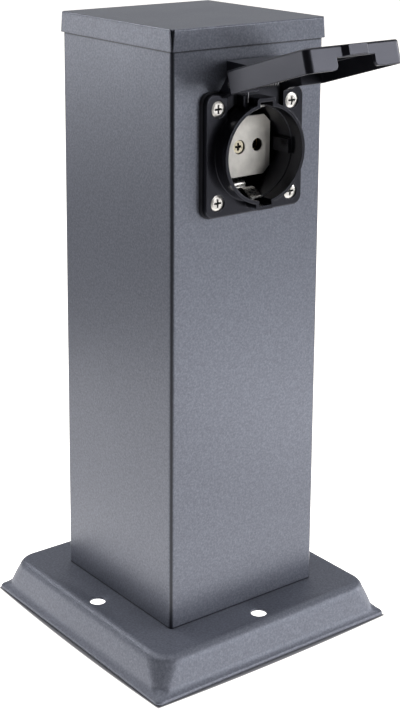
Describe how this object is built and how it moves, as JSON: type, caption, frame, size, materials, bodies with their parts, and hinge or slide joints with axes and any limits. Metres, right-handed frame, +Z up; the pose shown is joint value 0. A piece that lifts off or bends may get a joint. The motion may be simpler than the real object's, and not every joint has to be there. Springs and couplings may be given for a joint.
{
  "type": "garden socket post",
  "caption": "Square metal garden post on a pressed foot, with an earthed panel outlet near the top under a hinged spring lid.",
  "frame": {"origin": "middle of the base's underside, on the ground", "axes": "+Z up along the post, -Y out of the outlet, +X to the right of someone who faces the outlet"},
  "size_m": [0.125, 0.1642, 0.2676],
  "materials": {
    "coating": "fine textured anthracite powder coat",
    "zinc_steel": "zinc plated",
    "nickel": "bright nickel",
    "spring_metal": "bright drawn",
    "brass": "bare",
    "rubber": "matt",
    "black_plastic": "satin moulded",
    "insert_plastic": "matt moulded",
    "lead_sheath": "green with a yellow stripe"
  },
  "bodies": {
    "post": {"base_pan": "coating", "post_tube": "coating", "top_cap": "coating", "foot_screws": "zinc_steel", "foot_nuts": "zinc_steel", "cable_grommet": "rubber", "flange_gasket": "rubber", "socket_body": "black_plastic", "contact_insert": "insert_plastic", "insert_screw": "zinc_steel", "insert_nut": "zinc_steel", "line_contact": "brass", "neutral_contact": "brass", "earth_strap": "spring_metal", "earth_terminal": "brass", "terminal_screws": "zinc_steel", "flange_screws": "nickel", "flange_nuts": "zinc_steel", "hinge_pin": "spring_metal", "lid_spring": "spring_metal", "earth_stud": "zinc_steel", "earth_nut": "zinc_steel", "earth_lug": "zinc_steel", "earth_lead": "lead_sheath"},
    "lid": {"socket_lid": "black_plastic", "lid_seal": "rubber"}
  },
  "joints": [
    {"name": "lid_hinge", "type": "hinge", "parent": "post", "child": "lid", "pos_m": [0, -0.0475, 0.2452], "axis": [1, 0, 0], "range_deg": [0, 107], "stiffness_Nm_per_rad": 0.02, "springref_deg": 136.02, "deforming": ["lid_spring"]}
  ]
}
